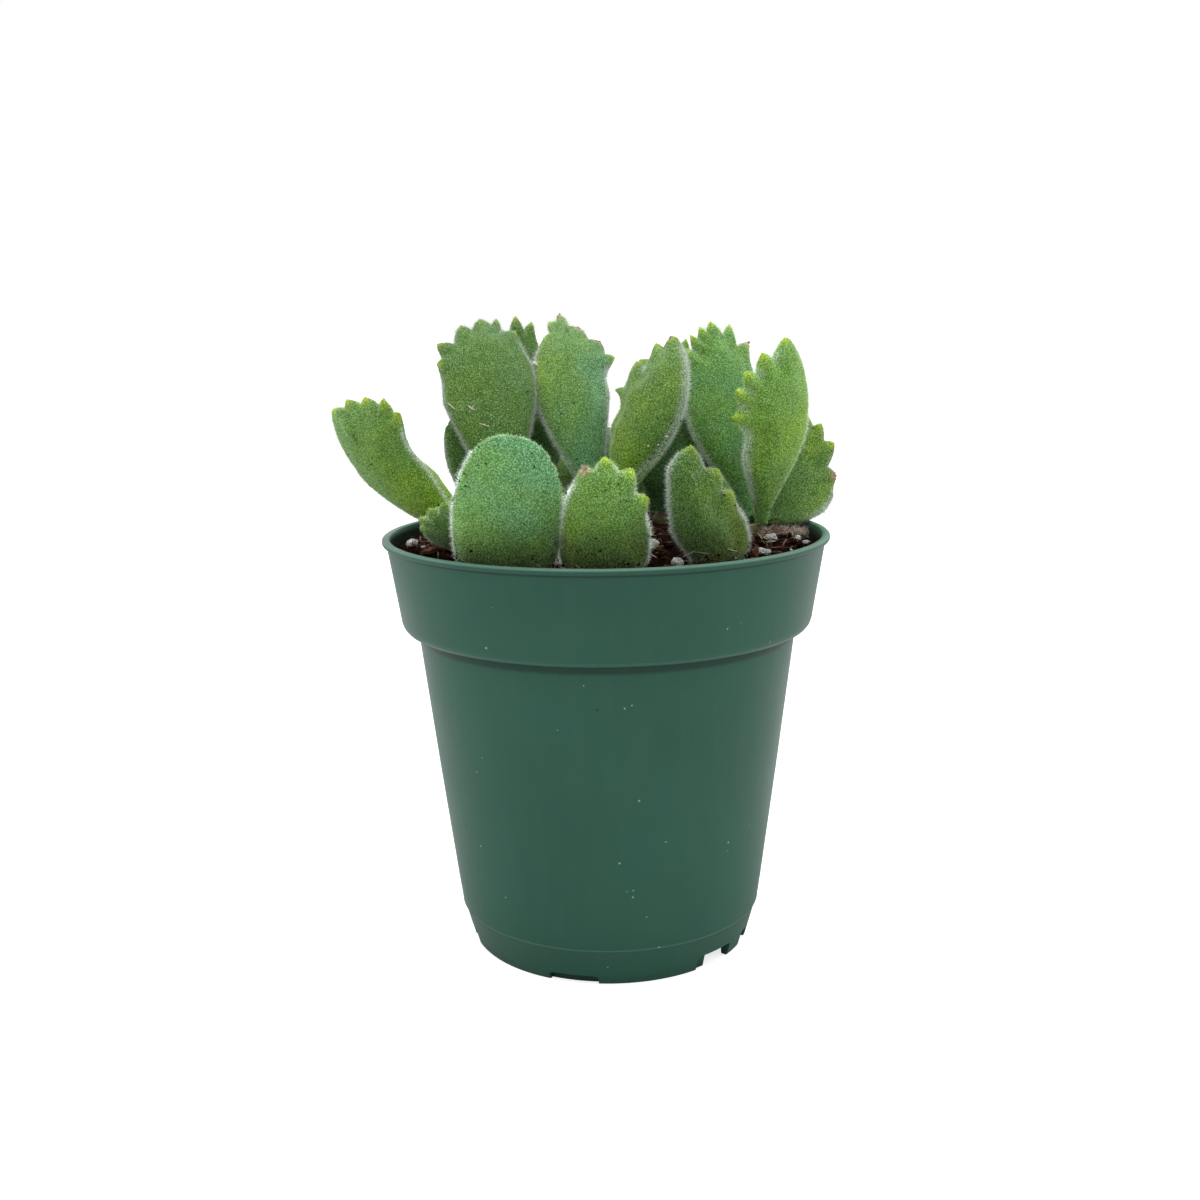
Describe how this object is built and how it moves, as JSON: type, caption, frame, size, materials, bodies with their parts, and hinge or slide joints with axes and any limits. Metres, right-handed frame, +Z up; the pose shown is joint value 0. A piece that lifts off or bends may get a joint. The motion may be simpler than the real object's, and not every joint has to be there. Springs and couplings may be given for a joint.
{
  "type": "bear's paw succulent in a nursery pot",
  "caption": "Bushy bear's paw succulent with thick velvety toothed leaves on short stems, growing in soil in a tapered round plastic nursery pot.",
  "frame": {"origin": "middle of the whole plant's box in plan, at the level of the pot's foot; the pot's own axis stands 2.2 mm to the right of it and 3.0 mm in front of it", "axes": "+Z up along the pot's axis, -Y towards the front that was pictured, +X to the right as seen from the front"},
  "size_m": [0.1182, 0.11, 0.1484],
  "materials": {
    "pot_plastic": "satin",
    "potting_mix": "matte",
    "stem_bark": "matte",
    "leaf": "matte",
    "perlite": "matte",
    "bark_chip": "matte"
  },
  "bodies": {
    "root": {"pot": "pot_plastic", "soil": "potting_mix", "stem_left": "stem_bark", "stem_middle": "stem_bark", "stem_right": "stem_bark", "stem_front_right": "stem_bark", "stem_back_left": "stem_bark", "stem_back_right": "stem_bark", "leaf_left_outer": "leaf", "leaf_left_small": "leaf", "leaf_front_left": "leaf", "leaf_front_middle": "leaf", "leaf_front_right": "leaf", "leaf_tall_left": "leaf", "leaf_left_back": "leaf", "leaf_tall_middle": "leaf", "leaf_centre": "leaf", "leaf_centre_young": "leaf", "leaf_middle_low": "leaf", "leaf_tall_right": "leaf", "leaf_right_front": "leaf", "leaf_right_back": "leaf", "leaf_front_right_young": "leaf", "leaf_back_left_tall": "leaf", "leaf_back_left_inner": "leaf", "leaf_back_right_tall": "leaf", "leaf_back_right_inner": "leaf", "leaf_back_1": "leaf", "leaf_back_2": "leaf", "leaf_back_3": "leaf", "leaf_back_4": "leaf", "perlite_1": "perlite", "perlite_2": "perlite", "perlite_3": "perlite", "perlite_4": "perlite", "perlite_5": "perlite", "bark_chip_1": "bark_chip", "bark_chip_2": "bark_chip"}
  },
  "joints": []
}
